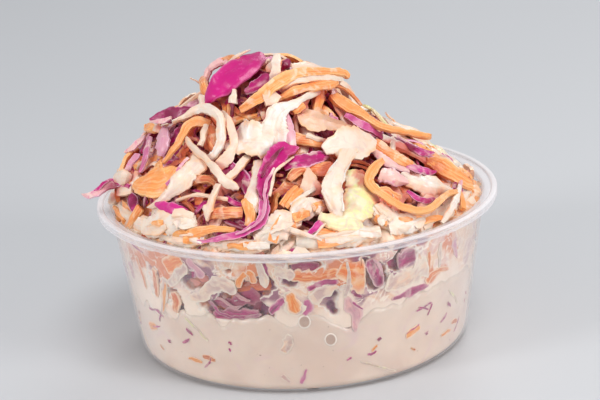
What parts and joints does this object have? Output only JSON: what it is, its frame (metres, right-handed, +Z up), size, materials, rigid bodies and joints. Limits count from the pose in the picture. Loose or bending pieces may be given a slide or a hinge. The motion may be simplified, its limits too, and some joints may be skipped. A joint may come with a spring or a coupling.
{
  "type": "tub of coleslaw",
  "caption": "Round clear plastic tub heaped over its rim with coleslaw: shredded cabbage and carrot on a pool of creamy dressing.",
  "frame": {"origin": "middle of the tub's flat underside", "axes": "+Z up out of the tub, -Y towards the front, +X to the right as seen from the front"},
  "size_m": [0.1209, 0.117, 0.089],
  "materials": {
    "tub": "clear, slightly milky moulded plastic",
    "dressing": "smooth creamy dressing, wet",
    "slaw": "shredded vegetables coated in dressing, wet"
  },
  "bodies": {
    "root": {"tub": "tub", "dressing": "dressing", "slaw": "slaw"}
  },
  "joints": []
}
